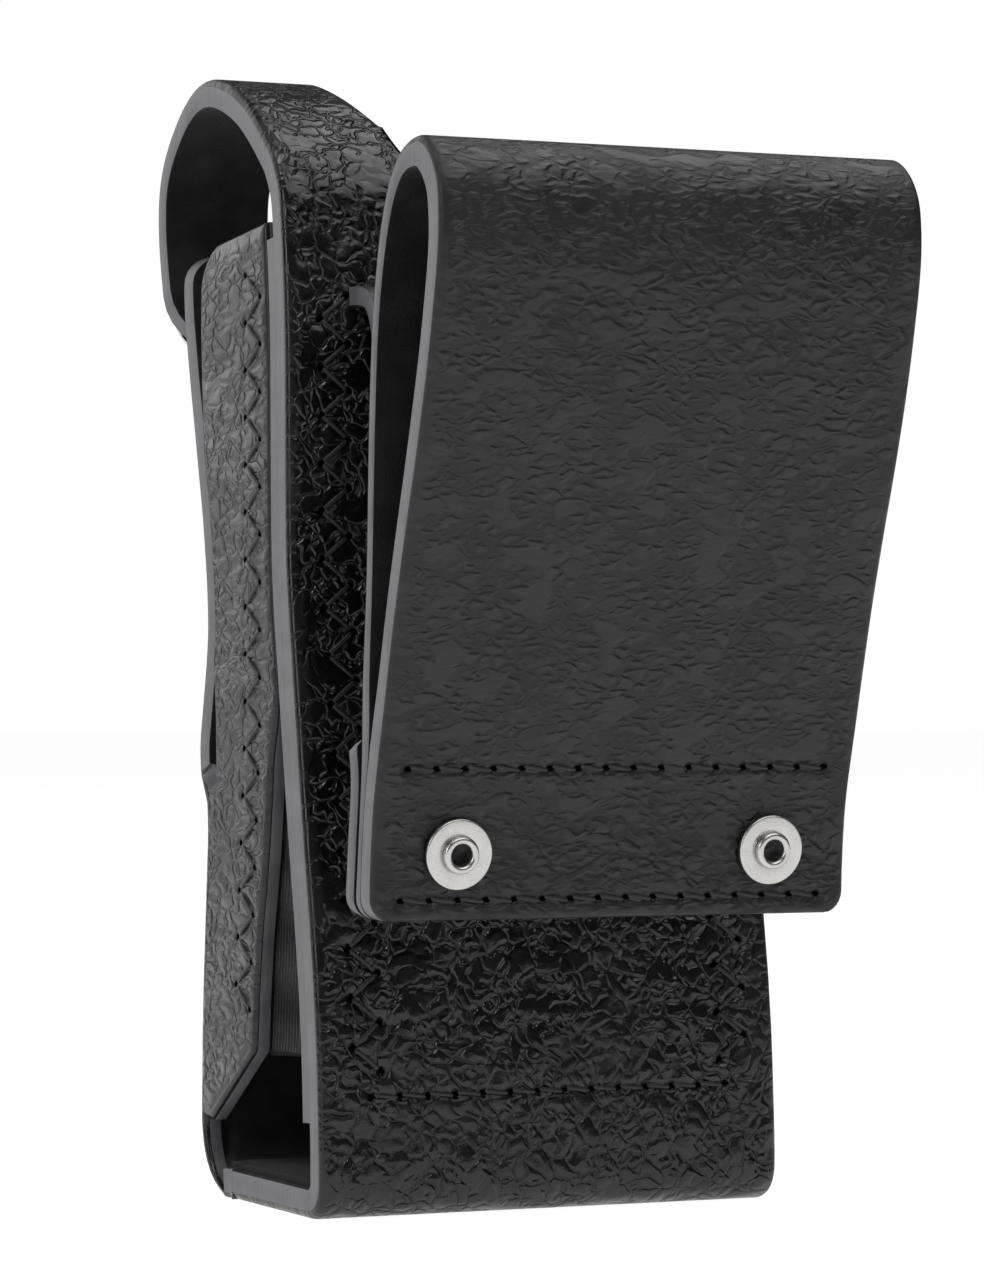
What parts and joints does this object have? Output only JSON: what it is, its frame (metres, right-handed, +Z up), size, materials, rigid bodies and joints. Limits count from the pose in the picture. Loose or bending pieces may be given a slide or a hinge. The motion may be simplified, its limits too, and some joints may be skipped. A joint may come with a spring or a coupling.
{
  "type": "leather radio carry case",
  "caption": "Open-topped pebbled leather case with a snap-down retaining strap, elastic gussets and a riveted belt loop hung on a leather tab.",
  "frame": {"origin": "middle of the flat bottom, on the surface it stands on", "axes": "+Z up, +X across the case to the right of someone looking at the belt loop, +Y from the belt loop towards the pocket's front"},
  "size_m": [0.0702, 0.1044, 0.159],
  "materials": {
    "pebbled_leather": "black pebbled leather, satin, with grey painted edges",
    "loop_leather": "black finer-grained leather, softer sheen, with grey painted edges",
    "lining": "black napped lining",
    "elastic": "black ribbed woven elastic",
    "thread": "black bonded thread",
    "nickel": "bright nickel plate"
  },
  "bodies": {
    "case": {"back_panel": "pebbled_leather", "bottom_strip": "pebbled_leather", "front_panel": "pebbled_leather", "left_wing": "pebbled_leather", "right_wing": "pebbled_leather", "back_liner": "lining", "bottom_liner": "lining", "hanger_anchor": "loop_leather", "left_elastic": "elastic", "right_elastic": "elastic", "left_wing_zigzag": "thread", "right_wing_zigzag": "thread", "left_back_zigzag": "thread", "right_back_zigzag": "thread", "liner_bottom_stitch": "thread", "snap_stud": "nickel", "snap_stud_washer": "nickel"},
    "strap": {"retaining_strap": "pebbled_leather"},
    "strap_end": {"strap_tip": "pebbled_leather", "snap_cap": "nickel", "snap_socket": "nickel"},
    "belt_hanger": {"belt_loop": "loop_leather", "hanger_tab": "loop_leather", "left_rivet": "nickel", "right_rivet": "nickel", "left_front_washer": "nickel", "right_front_washer": "nickel", "left_rear_washer": "nickel", "right_rear_washer": "nickel", "loop_stitch_upper": "thread", "loop_stitch_lower": "thread"}
  },
  "joints": [
    {"name": "strap_lift", "type": "hinge", "parent": "case", "child": "strap", "pos_m": [-0.0265, -0.0011, 0.1502], "axis": [1, 0, 0], "range_deg": [0, 95], "stiffness_Nm_per_rad": 0.1},
    {"name": "strap_tip_flex", "type": "hinge", "parent": "strap", "child": "strap_end", "pos_m": [-0.0265, 0.0399, 0.145], "axis": [1, 0, 0], "range_deg": [0, 60], "stiffness_Nm_per_rad": 0.05},
    {"name": "hanger_flex", "type": "hinge", "parent": "case", "child": "belt_hanger", "pos_m": [0, -0.0143, 0.1252], "axis": [-1, 0, 0], "range_deg": [-5, 50], "stiffness_Nm_per_rad": 0.3, "springref_deg": 3.15}
  ]
}
